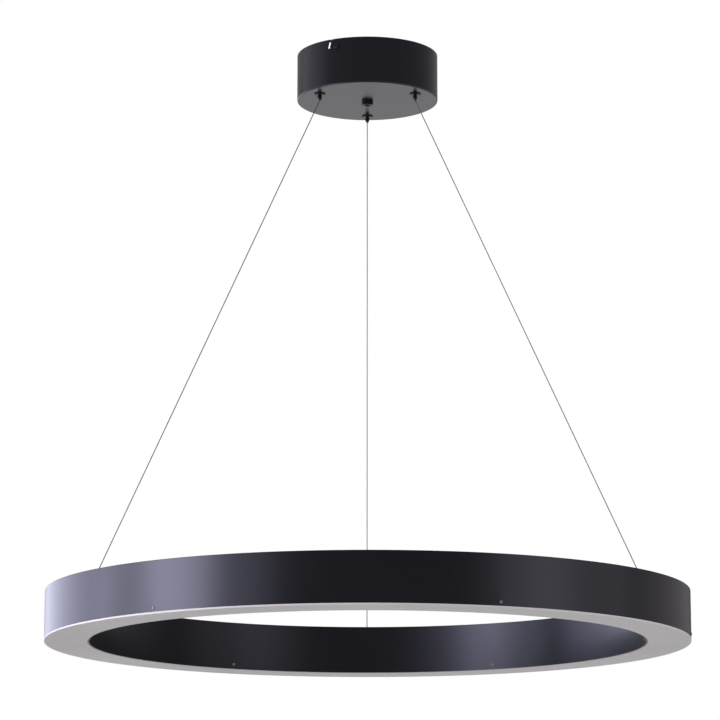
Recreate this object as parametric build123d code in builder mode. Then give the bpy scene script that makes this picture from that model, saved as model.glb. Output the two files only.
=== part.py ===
from build123d import *
import os
from math import atan2, cos, radians, sin

os.makedirs("parts", exist_ok=True)

# A ring lamp that hangs on three steel wires from a drum canopy, in millimetres.
# The ceiling is the plane Z = 0 and the lamp hangs below it. -Y is its front and +X its right.

# ---------------------------------------------------------------- driving dimensions

# Ring
ring_diameter = 800.0
ring_band = 55.0
ring_wall_height = 60.0
inner_wall_extra = 1.5
ring_sheet = 1.5
ring_edge_radius = 0.6

# Diffuser
diffuser_plate = 2.0
diffuser_leg = 2.2
diffuser_leg_height = 9.0
diffuser_gap = 0.3
diffuser_screw_count = 6
outer_screw_angle = 52.0
inner_screw_angle = 61.0
diffuser_screw_rise = 4.5
diffuser_screw_head = 3.6
diffuser_screw_head_height = 1.0
diffuser_screw_shank = 2.0
diffuser_screw_length = 3.4
diffuser_screw_taper = 20.0
diffuser_screw_gap = 0.02

# Light source
board_count = 6
board_width = 20.0
board_thickness = 1.2
board_arc = 55.0
board_first_angle = 0.0
pad_thickness = 0.5
chips_per_board = 12
chip_width = 2.8
chip_length = 3.5
chip_height = 0.8
chip_end_angle = 2.5

# Suspension
suspension_drop = 636.0
wire_names = ["rear", "left", "right"]
rear_wire_angle = 90.0
wire_diameter = 1.2
wire_bend_radius = 6.0
wire_clearance = 0.35
anchor_neck_radius = 2.9
anchor_flange_radius = 4.5
anchor_flange_height = 1.2
anchor_mouth_bevel = 0.8
anchor_depth = 7.0
anchor_nut_across = 9.0
anchor_nut_height = 3.0
ferrule_radius = 2.0
ferrule_length = 8.0

# Canopy
canopy_diameter = 180.0
canopy_height = 60.0
canopy_wall = 1.2
canopy_edge_radius = 1.5
ceiling_gap = 0.5

# Bayonet
screw_angle = 244.1
screw_drop = 10.0
side_screw_diameter = 3.0
side_screw_head = 7.0
side_screw_head_height = 2.5
side_screw_head_bevel = 0.7
slot_clearance = 0.15
slot_seat_length = 10.7
slot_slant = 3.3
head_gap = 0.3

# Ceiling bracket
strap_thickness = 2.0
strap_width = 24.0
strap_end_setback = 0.5
ear_width = 20.0
ear_neck_width = 16.0
ear_height = 16.0
ear_gap = 1.0
ear_relief = 0.8
strap_bend_radius = 0.8
cable_hole_diameter = 10.0
ceiling_screw_circle = 60.0
ceiling_screw_hole = 4.5
earth_screw_offset = 48.0
earth_screw_diameter = 4.0
earth_screw_head = 7.0
earth_screw_head_height = 2.6
earth_screw_head_bevel = 0.7

# Wire grippers
gripper_inset = 20.0
barrel_diameter = 10.0
barrel_length = 20.0
flange_diameter = 14.5
flange_thickness = 1.4
taper_length = 9.0
taper_low_radius = 2.75
taper_high_radius = 3.95
taper_rise = 1.0
plunger_diameter = 4.8
plunger_reach = 7.0
plunger_tip_length = 2.2
plunger_tip_diameter = 2.8
plunger_clearance = 0.2
plunger_collar_radius = 3.1
plunger_collar_height = 1.0
collar_over_balls = 2.6
ball_diameter = 2.4
ball_count = 3
ball_gap = 0.1
window_clearance = 0.15
spring_outer_radius = 3.0
spring_wall = 0.7
spring_clearance = 0.1
cap_boss_length = 3.0
cap_head_height = 1.5
cap_slot_width = 1.0
cap_slot_depth = 0.7
gripper_nut_across = 14.0
gripper_nut_height = 4.0
thread_clearance = 0.1

# Spare wire in the canopy
coil_inner_radius = 11.0
coil_width = 4.8
coil_height = 3.6
tail_rise = 8.0

# Cord gland
gland_diameter = 14.8
gland_collar_height = 1.6
gland_nut_height = 3.4
gland_thread_diameter = 12.0
gland_thread_length = 9.0
gland_bore_diameter = 6.4
gland_locknut_across = 17.0
gland_locknut_height = 4.0
gland_edge = 0.8

# Driver, terminal block and leads
driver_length = 112.0
driver_width = 36.0
driver_case_height = 21.0
driver_lid_height = 2.5
driver_corner_radius = 3.0
driver_lid_overlap = 0.8
driver_setback = 12.0
driver_pad_inset = 4.0
driver_pad_thickness = 1.0
block_width = 38.0
block_depth = 20.0
block_height = 16.0
block_setback = 31.0
block_poles = 3
block_pitch = 12.0
block_port = 4.0
block_port_depth = 6.0
block_port_height = 6.5
block_screw_radius = 2.0
block_screw_depth = 5.0
lead_diameter = 2.4
lead_arch = 6.0
lead_bend_radius = 6.0
lead_straight = 8.0

# Feed cord inlet in the ring
inlet_angle = 150.0
inlet_hole_radius = 5.0
inlet_bore_diameter = 6.4
inlet_flange_radius = 7.0
inlet_flange_height = 1.5

# ---------------------------------------------------------------- derived places

canopy_radius = canopy_diameter / 2
canopy_inner_radius = canopy_radius - canopy_wall
canopy_rim_z = -ceiling_gap
canopy_floor_z = -canopy_height
canopy_inside_z = canopy_floor_z + canopy_wall

ring_radius = ring_diameter / 2
ring_inner_radius = ring_radius - ring_band
ring_middle_radius = ring_radius - ring_band / 2
ring_top_z = canopy_floor_z - suspension_drop
web_underside_z = ring_top_z - ring_sheet
outer_wall_z = ring_top_z - ring_wall_height
inner_wall_z = outer_wall_z - inner_wall_extra
diffuser_face_z = outer_wall_z - diffuser_plate

wire_radius = wire_diameter / 2
wire_hole_radius = wire_radius + wire_clearance
wire_angles = {}
for place, wire_name in enumerate(wire_names):
    wire_angles[wire_name] = rear_wire_angle + place * 360.0 / len(wire_names)

gripper_radius = canopy_radius - gripper_inset
barrel_radius = barrel_diameter / 2
flange_z = canopy_floor_z - flange_thickness
barrel_top_z = canopy_floor_z + barrel_length
plunger_radius = plunger_diameter / 2
plunger_tip_z = flange_z - plunger_reach
taper_low_z = canopy_floor_z + taper_rise
taper_high_z = taper_low_z + taper_length
taper_slope = (taper_high_radius - taper_low_radius) / taper_length
ball_radius = ball_diameter / 2
ball_offset = wire_radius + ball_gap + ball_radius
ball_reach = ball_offset + (ball_radius + ball_gap) / cos(atan2(taper_slope, 1))
ball_z = taper_low_z + (ball_reach - taper_low_radius) / taper_slope
collar_z = ball_z + collar_over_balls
cap_boss_z = barrel_top_z - cap_boss_length
cap_top_z = barrel_top_z + cap_head_height

coil_middle_radius = coil_inner_radius + coil_width / 2
coil_top_z = canopy_inside_z + coil_height

anchor_bottom_z = web_underside_z - anchor_depth
ferrule_bottom_z = anchor_bottom_z - ferrule_length
anchor_top_z = ring_top_z + anchor_flange_height

side_screw_z = canopy_rim_z - screw_drop
side_screw_radius = side_screw_diameter / 2
slot_width = side_screw_diameter + 2 * slot_clearance
ear_outer_radius = canopy_inner_radius - ear_gap

driver_floor_z = canopy_inside_z + driver_pad_thickness
driver_top_z = driver_floor_z + driver_case_height
driver_middle_y = driver_setback + driver_width / 2
block_middle_y = -(block_setback + block_depth / 2)
lead_z = canopy_inside_z + block_port_height


def radial_plane(angle):
    """The upright plane through the lamp's axis at this angle: x is the radius and y is Z."""
    turn = radians(angle)
    return Plane(origin=(0, 0, 0), x_dir=(cos(turn), sin(turn), 0), z_dir=(sin(turn), -cos(turn), 0))


def facing_plane(angle, radius, height=0.0):
    """The upright plane square to the radius at this angle: x runs anticlockwise and y is Z."""
    turn = radians(angle)
    outward = (cos(turn), sin(turn), 0)
    return Plane(
        origin=(radius * cos(turn), radius * sin(turn), height),
        x_dir=(-sin(turn), cos(turn), 0),
        z_dir=outward,
    )


def upright_axis(angle, radius):
    turn = radians(angle)
    return Axis((radius * cos(turn), radius * sin(turn), 0), (0, 0, 1))


def finish(part, name):
    part.label = name
    export_step(part, f"parts/{name}.step")


# ---------------------------------------------------------------- ceiling bracket

strap_plane = radial_plane(screw_angle)
strap_plan = Plane(origin=(0, 0, 0), x_dir=strap_plane.x_dir, z_dir=(0, 0, 1))

with BuildPart() as ceiling_bracket:
    with BuildSketch(strap_plane) as strap_side:
        with BuildLine():
            Polyline(
                (-ear_outer_radius, -ear_height),
                (-ear_outer_radius, 0),
                (ear_outer_radius, 0),
                (ear_outer_radius, -ear_height),
                (ear_outer_radius - strap_thickness, -ear_height),
                (ear_outer_radius - strap_thickness, -strap_thickness),
                (-ear_outer_radius + strap_thickness, -strap_thickness),
                (-ear_outer_radius + strap_thickness, -ear_height),
                close=True,
            )
        make_face()
        bends = strap_side.vertices().group_by(Axis.Y)
        fillet(bends[-1], radius=strap_bend_radius + strap_thickness)
        fillet(bends[-2], radius=strap_bend_radius)
    extrude(amount=ear_width / 2, both=True)
    # Each ear has a narrow neck at its bend, and widens down to the level of the slot's seat leg.
    bend_depth = strap_thickness + strap_bend_radius
    bend_start = ear_outer_radius - bend_depth
    for side in (0, 180):
        with BuildSketch(facing_plane(screw_angle + side, bend_start)):
            with BuildLine():
                Polyline(
                    (ear_neck_width / 2, 0),
                    (ear_neck_width / 2, -bend_depth),
                    (ear_width / 2, side_screw_z + slot_width / 2),
                    (strap_width / 2, side_screw_z + slot_width / 2),
                    (strap_width / 2, 0),
                    close=True,
                )
            make_face()
            mirror(about=Plane.YZ)
        extrude(amount=bend_depth, mode=Mode.SUBTRACT)
    # The flat strap is wider, and its ends stand beside the necks, past a relief cut on each side.
    with BuildSketch(strap_plan):
        Rectangle(2 * (ear_outer_radius - strap_end_setback), strap_width)
        with Locations((bend_start + bend_depth / 2, 0), (-bend_start - bend_depth / 2, 0)):
            Rectangle(bend_depth, ear_neck_width + 2 * ear_relief, mode=Mode.SUBTRACT)
    extrude(amount=-strap_thickness)
    with BuildSketch(strap_plan):
        Circle(cable_hole_diameter / 2)
        with PolarLocations(ceiling_screw_circle / 2, 2):
            Circle(ceiling_screw_hole / 2)
        with Locations((earth_screw_offset, 0)):
            Circle(earth_screw_diameter / 2 + thread_clearance)
    extrude(amount=-strap_thickness, mode=Mode.SUBTRACT)
    for side in (0, 180):
        with BuildSketch(facing_plane(screw_angle + side, ear_outer_radius, side_screw_z)):
            Circle(side_screw_radius + thread_clearance)
        extrude(amount=-strap_thickness, mode=Mode.SUBTRACT)
finish(ceiling_bracket.part, "ceiling_bracket")

# The two screws stand through the bayonet slots, with their heads outside the canopy.
side_screw_seat = canopy_radius + head_gap
side_screw_length = side_screw_seat - ear_outer_radius + 2 * strap_thickness
with BuildPart() as side_screws:
    for side in (0, 180):
        seat_plane = facing_plane(screw_angle + side, side_screw_seat, side_screw_z)
        with BuildSketch(seat_plane):
            Circle(side_screw_head / 2)
        extrude(amount=side_screw_head_height)
        with BuildSketch(seat_plane):
            Circle(side_screw_radius)
        extrude(amount=-side_screw_length)
    rims = side_screws.edges().filter_by(GeomType.CIRCLE)
    head_rims = rims.filter_by(lambda rim: abs(rim.radius - side_screw_head / 2) < 0.01)
    crown = side_screw_seat + side_screw_head_height / 2
    outer_rims = head_rims.filter_by(lambda rim: Vector(rim.arc_center.X, rim.arc_center.Y).length > crown)
    chamfer(outer_rims, length=side_screw_head_bevel)
finish(side_screws.part, "side_screws")

with BuildPart() as earth_screw:
    with Locations(strap_plan.from_local_coords(Vector(earth_screw_offset, 0, -strap_thickness))):
        Cylinder(
            earth_screw_head / 2,
            earth_screw_head_height,
            align=(Align.CENTER, Align.CENTER, Align.MAX),
        )
        Cylinder(
            earth_screw_diameter / 2,
            strap_thickness - thread_clearance,
            align=(Align.CENTER, Align.CENTER, Align.MIN),
        )
    chamfer(earth_screw.edges().group_by(Axis.Z)[0], length=earth_screw_head_bevel)
finish(earth_screw.part, "earth_screw")

# ---------------------------------------------------------------- canopy

with BuildPart() as canopy_shell:
    with BuildSketch(Plane.XZ) as canopy_section:
        with BuildLine():
            Polyline(
                (0, canopy_floor_z),
                (canopy_radius, canopy_floor_z),
                (canopy_radius, canopy_rim_z),
                (canopy_inner_radius, canopy_rim_z),
                (canopy_inner_radius, canopy_inside_z),
                (0, canopy_inside_z),
                close=True,
            )
        make_face()
        outside_corner = canopy_section.vertices().sort_by_distance((canopy_radius, canopy_floor_z))[0]
        fillet(outside_corner, radius=canopy_edge_radius)
    revolve(axis=Axis.Z)
    with BuildSketch(Plane.XY.offset(canopy_floor_z)):
        Circle(gland_thread_diameter / 2 + thread_clearance)
        with PolarLocations(gripper_radius, len(wire_names), start_angle=rear_wire_angle):
            Circle(barrel_radius + thread_clearance)
    extrude(amount=canopy_wall, mode=Mode.SUBTRACT)
    # Each bayonet slot has a slanted leg that is open at the rim and a level seat leg.
    for side in (0, 180):
        slot_plane = facing_plane(screw_angle + side, canopy_radius - 4 * canopy_wall, canopy_rim_z)
        with BuildSketch(slot_plane):
            with Locations((-slot_seat_length / 2, -screw_drop)):
                SlotCenterToCenter(slot_seat_length, slot_width)
            with BuildLine():
                Polyline(
                    (-slot_seat_length - slot_width / 2, -screw_drop),
                    (-slot_seat_length + slot_width / 2, -screw_drop),
                    (-slot_seat_length + slot_slant + slot_width / 2, canopy_wall),
                    (-slot_seat_length + slot_slant - slot_width / 2, canopy_wall),
                    close=True,
                )
            make_face()
        extrude(amount=5 * canopy_wall, mode=Mode.SUBTRACT)
finish(canopy_shell.part, "canopy_shell")

# ---------------------------------------------------------------- cord gland

gland_low_z = canopy_floor_z - gland_collar_height
with BuildPart() as cord_gland_body:
    with Locations((0, 0, canopy_floor_z)):
        Cylinder(gland_diameter / 2, gland_collar_height, align=(Align.CENTER, Align.CENTER, Align.MAX))
        Cylinder(
            gland_thread_diameter / 2, gland_thread_length, align=(Align.CENTER, Align.CENTER, Align.MIN)
        )
        Cylinder(
            gland_bore_diameter / 2,
            3 * (gland_collar_height + gland_thread_length),
            mode=Mode.SUBTRACT,
        )
finish(cord_gland_body.part, "cord_gland_body")

with BuildPart() as cord_gland_nut:
    with Locations((0, 0, gland_low_z)):
        Cylinder(gland_diameter / 2, gland_nut_height, align=(Align.CENTER, Align.CENTER, Align.MAX))
    chamfer(cord_gland_nut.edges().group_by(Axis.Z)[0], length=gland_edge)
    with Locations((0, 0, gland_low_z)):
        Cylinder(gland_bore_diameter / 2, 3 * gland_nut_height, mode=Mode.SUBTRACT)
finish(cord_gland_nut.part, "cord_gland_nut")

with BuildPart() as cord_gland_locknut:
    with BuildSketch(Plane.XY.offset(canopy_inside_z)):
        RegularPolygon(gland_locknut_across / 2, 6, major_radius=False)
        Circle(gland_thread_diameter / 2 + thread_clearance, mode=Mode.SUBTRACT)
    extrude(amount=gland_locknut_height)
finish(cord_gland_locknut.part, "cord_gland_locknut")

# ---------------------------------------------------------------- wire grippers
# A wire runs up through the plunger. The spring holds the plunger down, and its balls wedge
# between the barrel's taper and the wire. Pushing the plunger up lets the wire go.

with BuildPart() as gripper_barrels:
    for angle in wire_angles.values():
        with BuildSketch(radial_plane(angle)):
            with BuildLine():
                Polyline(
                    (gripper_radius + plunger_radius + plunger_clearance, flange_z),
                    (gripper_radius + flange_diameter / 2, flange_z),
                    (gripper_radius + flange_diameter / 2, canopy_floor_z),
                    (gripper_radius + barrel_radius, canopy_floor_z),
                    (gripper_radius + barrel_radius, barrel_top_z),
                    (gripper_radius + taper_high_radius, barrel_top_z),
                    (gripper_radius + taper_high_radius, taper_high_z),
                    (gripper_radius + taper_low_radius, taper_low_z),
                    (gripper_radius + plunger_radius + plunger_clearance, taper_low_z),
                    close=True,
                )
            make_face()
        revolve(axis=upright_axis(angle, gripper_radius))
finish(gripper_barrels.part, "gripper_barrels")

with BuildPart() as gripper_nuts:
    with BuildSketch(Plane.XY.offset(canopy_inside_z)):
        with PolarLocations(gripper_radius, len(wire_names), start_angle=rear_wire_angle):
            RegularPolygon(gripper_nut_across / 2, 6, major_radius=False)
            Circle(barrel_radius + thread_clearance, mode=Mode.SUBTRACT)
    extrude(amount=gripper_nut_height)
finish(gripper_nuts.part, "gripper_nuts")

with BuildPart() as gripper_caps:
    with BuildSketch(Plane.XY.offset(cap_boss_z)):
        with PolarLocations(gripper_radius, len(wire_names), start_angle=rear_wire_angle):
            Circle(taper_high_radius - thread_clearance)
    extrude(amount=cap_boss_length)
    with BuildSketch(Plane.XY.offset(barrel_top_z)):
        with PolarLocations(gripper_radius, len(wire_names), start_angle=rear_wire_angle):
            Circle(barrel_radius)
    extrude(amount=cap_head_height)
    with BuildSketch(Plane.XY.offset(cap_top_z)):
        with PolarLocations(gripper_radius, len(wire_names), start_angle=rear_wire_angle):
            Rectangle(cap_slot_width, 3 * barrel_radius)
    extrude(amount=-cap_slot_depth, mode=Mode.SUBTRACT)
    with BuildSketch(Plane.XY.offset(cap_boss_z)):
        with PolarLocations(gripper_radius, len(wire_names), start_angle=rear_wire_angle):
            Circle(wire_hole_radius)
    extrude(amount=cap_boss_length + cap_head_height, mode=Mode.SUBTRACT)
finish(gripper_caps.part, "gripper_caps")

for wire_name, angle in wire_angles.items():
    gripper_axis = upright_axis(angle, gripper_radius)

    with BuildPart() as plunger:
        with BuildSketch(radial_plane(angle)):
            with BuildLine():
                Polyline(
                    (gripper_radius + wire_hole_radius, plunger_tip_z),
                    (gripper_radius + plunger_tip_diameter / 2, plunger_tip_z),
                    (gripper_radius + plunger_radius, plunger_tip_z + plunger_tip_length),
                    (gripper_radius + plunger_radius, collar_z),
                    (gripper_radius + plunger_collar_radius, collar_z),
                    (gripper_radius + plunger_collar_radius, collar_z + plunger_collar_height),
                    (gripper_radius + wire_hole_radius, collar_z + plunger_collar_height),
                    close=True,
                )
            make_face()
        revolve(axis=gripper_axis)
        for ball in range(ball_count):
            window_turn = radians(angle + ball * 360.0 / ball_count)
            window_way = (cos(window_turn), sin(window_turn), 0)
            middle = (gripper_axis.position.X, gripper_axis.position.Y, ball_z)
            with BuildSketch(Plane(origin=middle, z_dir=window_way)):
                Circle(ball_radius + window_clearance)
            extrude(amount=2 * plunger_radius, mode=Mode.SUBTRACT)
    finish(plunger.part, f"plunger_{wire_name}")

    with BuildPart() as balls:
        for ball in range(ball_count):
            ball_turn = radians(angle + ball * 360.0 / ball_count)
            ball_x = gripper_axis.position.X + ball_offset * cos(ball_turn)
            ball_y = gripper_axis.position.Y + ball_offset * sin(ball_turn)
            with Locations((ball_x, ball_y, ball_z)):
                Sphere(ball_radius)
    finish(balls.part, f"balls_{wire_name}")

    # The spring is hidden in the barrel, so its solid is the sleeve that its turns fill.
    with BuildPart() as spring:
        with BuildSketch(radial_plane(angle)):
            with BuildLine():
                Polyline(
                    (gripper_radius + spring_outer_radius, collar_z + plunger_collar_height),
                    (gripper_radius + spring_outer_radius, cap_boss_z - spring_clearance),
                    (gripper_radius + spring_outer_radius - spring_wall, cap_boss_z - spring_clearance),
                    (
                        gripper_radius + spring_outer_radius - spring_wall,
                        collar_z + plunger_collar_height,
                    ),
                    close=True,
                )
            make_face()
        revolve(axis=gripper_axis)
    finish(spring.part, f"spring_{wire_name}")

# ---------------------------------------------------------------- wires and their spare ends

for wire_name, angle in wire_angles.items():
    with BuildPart() as wire:
        with BuildLine(radial_plane(angle)):
            wire_route = FilletPolyline(
                (ring_middle_radius, ferrule_bottom_z),
                (ring_middle_radius, anchor_top_z),
                (gripper_radius, plunger_tip_z),
                (gripper_radius, cap_top_z),
                radius=wire_bend_radius,
            )
        with BuildSketch(Plane(origin=wire_route @ 0, z_dir=wire_route % 0)):
            Circle(wire_radius)
        sweep(path=wire_route)
    finish(wire.part, f"wire_{wire_name}")

    with BuildPart() as wire_tail:
        with BuildLine(radial_plane(angle)):
            tail_route = FilletPolyline(
                (gripper_radius, cap_top_z),
                (gripper_radius, cap_top_z + tail_rise),
                (gripper_radius + coil_middle_radius, cap_top_z + tail_rise),
                (gripper_radius + coil_middle_radius, coil_top_z),
                radius=wire_bend_radius,
            )
        with BuildSketch(Plane(origin=tail_route @ 0, z_dir=tail_route % 0)):
            Circle(wire_radius)
        sweep(path=tail_route)
    finish(wire_tail.part, f"wire_tail_{wire_name}")

    # The rest of the wire is wound round its gripper and lies on the canopy's floor.
    with BuildPart() as spare_coil:
        with BuildSketch(radial_plane(angle)):
            with Locations((gripper_radius + coil_middle_radius, canopy_inside_z + coil_height / 2)):
                Rectangle(coil_width, coil_height)
        revolve(axis=upright_axis(angle, gripper_radius))
    finish(spare_coil.part, f"spare_coil_{wire_name}")
    print(f"wire_{wire_name}: {wire_route.length:.1f} mm, tail {tail_route.length:.1f} mm")

# ---------------------------------------------------------------- driver, terminal block, leads

with BuildPart() as driver_pad:
    with BuildSketch(Plane.XY.offset(canopy_inside_z)):
        with Locations((0, driver_middle_y)):
            Rectangle(driver_length - 2 * driver_pad_inset, driver_width - 2 * driver_pad_inset)
    extrude(amount=driver_pad_thickness)
finish(driver_pad.part, "driver_pad")

with BuildPart() as driver_case:
    with BuildSketch(Plane.XY.offset(driver_floor_z)):
        with Locations((0, driver_middle_y)):
            RectangleRounded(driver_length, driver_width, driver_corner_radius)
    extrude(amount=driver_case_height)
    # A step round the top takes the lid's skirt.
    with BuildSketch(Plane.XY.offset(driver_top_z)):
        with Locations((0, driver_middle_y)):
            RectangleRounded(driver_length, driver_width, driver_corner_radius)
            RectangleRounded(
                driver_length - 2 * driver_lid_overlap,
                driver_width - 2 * driver_lid_overlap,
                driver_corner_radius - driver_lid_overlap,
                mode=Mode.SUBTRACT,
            )
    extrude(amount=-driver_lid_height, mode=Mode.SUBTRACT)
finish(driver_case.part, "driver_case")

with BuildPart() as driver_lid:
    with BuildSketch(Plane.XY.offset(driver_top_z - driver_lid_height)):
        with Locations((0, driver_middle_y)):
            RectangleRounded(driver_length, driver_width, driver_corner_radius)
    extrude(amount=2 * driver_lid_height)
    with BuildSketch(Plane.XY.offset(driver_top_z - driver_lid_height)):
        with Locations((0, driver_middle_y)):
            RectangleRounded(
                driver_length - 2 * driver_lid_overlap,
                driver_width - 2 * driver_lid_overlap,
                driver_corner_radius - driver_lid_overlap,
            )
    extrude(amount=driver_lid_height, mode=Mode.SUBTRACT)
finish(driver_lid.part, "driver_lid")

port_x = [block_pitch * (pole - (block_poles - 1) / 2) for pole in range(block_poles)]
block_face_y = block_middle_y + block_depth / 2
with BuildPart() as terminal_block:
    with BuildSketch(Plane.XY.offset(canopy_inside_z)):
        with Locations((0, block_middle_y)):
            Rectangle(block_width, block_depth)
    extrude(amount=block_height)
    chamfer(terminal_block.edges().filter_by(Axis.X).group_by(Axis.Z)[-1], length=block_screw_radius)
    # Wire ports in the front and back faces, and screw wells in the top.
    with BuildSketch(Plane.XZ.offset(-block_face_y)):
        with Locations(*[(x, lead_z) for x in port_x]):
            Circle(block_port / 2)
    extrude(amount=block_port_depth, mode=Mode.SUBTRACT)
    with BuildSketch(Plane.XZ.offset(-(block_face_y - block_depth))):
        with Locations(*[(x, lead_z) for x in port_x]):
            Circle(block_port / 2)
    extrude(amount=-block_port_depth, mode=Mode.SUBTRACT)
    with BuildSketch(Plane.XY.offset(canopy_inside_z + block_height)):
        with Locations(*[(x, block_middle_y) for x in port_x]):
            Circle(block_screw_radius + thread_clearance)
    extrude(amount=-block_screw_depth, mode=Mode.SUBTRACT)
finish(terminal_block.part, "terminal_block")

with BuildPart() as terminal_screws:
    with BuildSketch(Plane.XY.offset(canopy_inside_z + block_height - block_screw_depth)):
        with Locations(*[(x, block_middle_y) for x in port_x]):
            Circle(block_screw_radius)
    extrude(amount=block_screw_depth / 2)
finish(terminal_screws.part, "terminal_screws")

with BuildPart() as driver_leads:
    for x in (port_x[0], port_x[-1]):
        start_y = block_face_y - block_port_depth
        with BuildLine(Plane.YZ.offset(x)):
            lead_route = FilletPolyline(
                (start_y, lead_z),
                (block_face_y + lead_straight, lead_z),
                ((block_face_y + driver_setback) / 2, lead_z + lead_arch),
                (driver_setback - lead_straight, lead_z),
                (driver_setback, lead_z),
                radius=lead_bend_radius,
            )
        with BuildSketch(Plane(origin=lead_route @ 0, z_dir=lead_route % 0)):
            Circle(lead_diameter / 2)
        sweep(path=lead_route)
finish(driver_leads.part, "driver_leads")

# ---------------------------------------------------------------- ring housing

with BuildPart() as ring_housing:
    with BuildSketch(Plane.XZ) as housing_section:
        with BuildLine():
            Polyline(
                (ring_radius, outer_wall_z),
                (ring_radius, ring_top_z),
                (ring_inner_radius, ring_top_z),
                (ring_inner_radius, inner_wall_z),
                (ring_inner_radius + ring_sheet, inner_wall_z),
                (ring_inner_radius + ring_sheet, web_underside_z),
                (ring_radius - ring_sheet, web_underside_z),
                (ring_radius - ring_sheet, outer_wall_z),
                close=True,
            )
        make_face()
        fillet(housing_section.vertices().group_by(Axis.Y)[-1], radius=ring_edge_radius)
    revolve(axis=Axis.Z)
    with BuildSketch(Plane.XY.offset(ring_top_z)):
        with PolarLocations(ring_middle_radius, len(wire_names), start_angle=rear_wire_angle):
            Circle(anchor_neck_radius + thread_clearance)
        with PolarLocations(ring_middle_radius, 1, start_angle=inlet_angle):
            Circle(inlet_hole_radius + thread_clearance)
    extrude(amount=-ring_sheet, mode=Mode.SUBTRACT)
    screw_z = outer_wall_z + diffuser_screw_rise
    for place in range(diffuser_screw_count):
        turn = place * 360.0 / diffuser_screw_count
        with BuildSketch(facing_plane(outer_screw_angle + turn, ring_radius + ring_sheet, screw_z)):
            Circle(diffuser_screw_shank / 2 + thread_clearance)
        extrude(amount=-3 * ring_sheet, mode=Mode.SUBTRACT)
        with BuildSketch(facing_plane(inner_screw_angle + turn, ring_inner_radius - ring_sheet, screw_z)):
            Circle(diffuser_screw_shank / 2 + thread_clearance)
        extrude(amount=3 * ring_sheet, mode=Mode.SUBTRACT)
finish(ring_housing.part, "ring_housing")

# ---------------------------------------------------------------- diffuser and its screws

leg_outer_radius = ring_radius - ring_sheet - diffuser_gap
leg_inner_radius = ring_inner_radius + ring_sheet + diffuser_gap
leg_top_z = outer_wall_z + diffuser_leg_height
with BuildPart() as diffuser_ring:
    with BuildSketch(Plane.XZ):
        with BuildLine():
            Polyline(
                (leg_inner_radius, diffuser_face_z),
                (ring_radius, diffuser_face_z),
                (ring_radius, outer_wall_z),
                (leg_outer_radius, outer_wall_z),
                (leg_outer_radius, leg_top_z),
                (leg_outer_radius - diffuser_leg, leg_top_z),
                (leg_outer_radius - diffuser_leg, outer_wall_z),
                (leg_inner_radius + diffuser_leg, outer_wall_z),
                (leg_inner_radius + diffuser_leg, leg_top_z),
                (leg_inner_radius, leg_top_z),
                close=True,
            )
        make_face()
    revolve(axis=Axis.Z)
    for place in range(diffuser_screw_count):
        turn = place * 360.0 / diffuser_screw_count
        with BuildSketch(facing_plane(outer_screw_angle + turn, ring_radius, screw_z)):
            Circle(diffuser_screw_shank / 2 + thread_clearance)
        extrude(amount=-(ring_radius - leg_outer_radius + diffuser_leg), mode=Mode.SUBTRACT)
        with BuildSketch(facing_plane(inner_screw_angle + turn, ring_inner_radius, screw_z)):
            Circle(diffuser_screw_shank / 2 + thread_clearance)
        extrude(amount=leg_inner_radius + diffuser_leg - ring_inner_radius, mode=Mode.SUBTRACT)
finish(diffuser_ring.part, "diffuser_ring")

with BuildPart() as outer_diffuser_screws:
    for place in range(diffuser_screw_count):
        turn = outer_screw_angle + place * 360.0 / diffuser_screw_count
        seat_plane = facing_plane(turn, ring_radius + diffuser_screw_gap, screw_z)
        with BuildSketch(seat_plane):
            Circle(diffuser_screw_head / 2)
        extrude(amount=diffuser_screw_head_height, taper=diffuser_screw_taper)
        with BuildSketch(seat_plane):
            Circle(diffuser_screw_shank / 2)
        extrude(amount=-diffuser_screw_length)
finish(outer_diffuser_screws.part, "outer_diffuser_screws")

with BuildPart() as inner_diffuser_screws:
    for place in range(diffuser_screw_count):
        turn = inner_screw_angle + place * 360.0 / diffuser_screw_count
        seat_plane = facing_plane(turn, ring_inner_radius - diffuser_screw_gap, screw_z)
        with BuildSketch(seat_plane):
            Circle(diffuser_screw_head / 2)
        extrude(amount=-diffuser_screw_head_height, taper=diffuser_screw_taper)
        with BuildSketch(seat_plane):
            Circle(diffuser_screw_shank / 2)
        extrude(amount=diffuser_screw_length)
finish(inner_diffuser_screws.part, "inner_diffuser_screws")

# ---------------------------------------------------------------- light source

pad_z = web_underside_z - pad_thickness
board_z = pad_z - board_thickness
with BuildSketch() as board_plan:
    with BuildLine():
        outer_edge = CenterArc((0, 0), ring_middle_radius + board_width / 2, -board_arc / 2, board_arc)
        inner_edge = CenterArc((0, 0), ring_middle_radius - board_width / 2, -board_arc / 2, board_arc)
        Line(outer_edge @ 0, inner_edge @ 0)
        Line(outer_edge @ 1, inner_edge @ 1)
    make_face()

with BuildPart() as thermal_pads:
    with BuildSketch(Plane.XY.offset(pad_z)):
        with PolarLocations(0, board_count, start_angle=board_first_angle):
            add(board_plan.sketch)
    extrude(amount=pad_thickness)
finish(thermal_pads.part, "thermal_pads")

with BuildPart() as led_boards:
    with BuildSketch(Plane.XY.offset(board_z)):
        with PolarLocations(0, board_count, start_angle=board_first_angle):
            add(board_plan.sketch)
    extrude(amount=board_thickness)
finish(led_boards.part, "led_boards")

chip_arc = board_arc - 2 * chip_end_angle
with BuildPart() as led_chips:
    with BuildSketch(Plane.XY.offset(board_z)):
        for board in range(board_count):
            first = board_first_angle + board * 360.0 / board_count - chip_arc / 2
            with PolarLocations(
                ring_middle_radius, chips_per_board, start_angle=first, angular_range=chip_arc, endpoint=True
            ):
                Rectangle(chip_width, chip_length)
    extrude(amount=-chip_height)
finish(led_chips.part, "led_chips")

# ---------------------------------------------------------------- wire anchors and cord inlet

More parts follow.
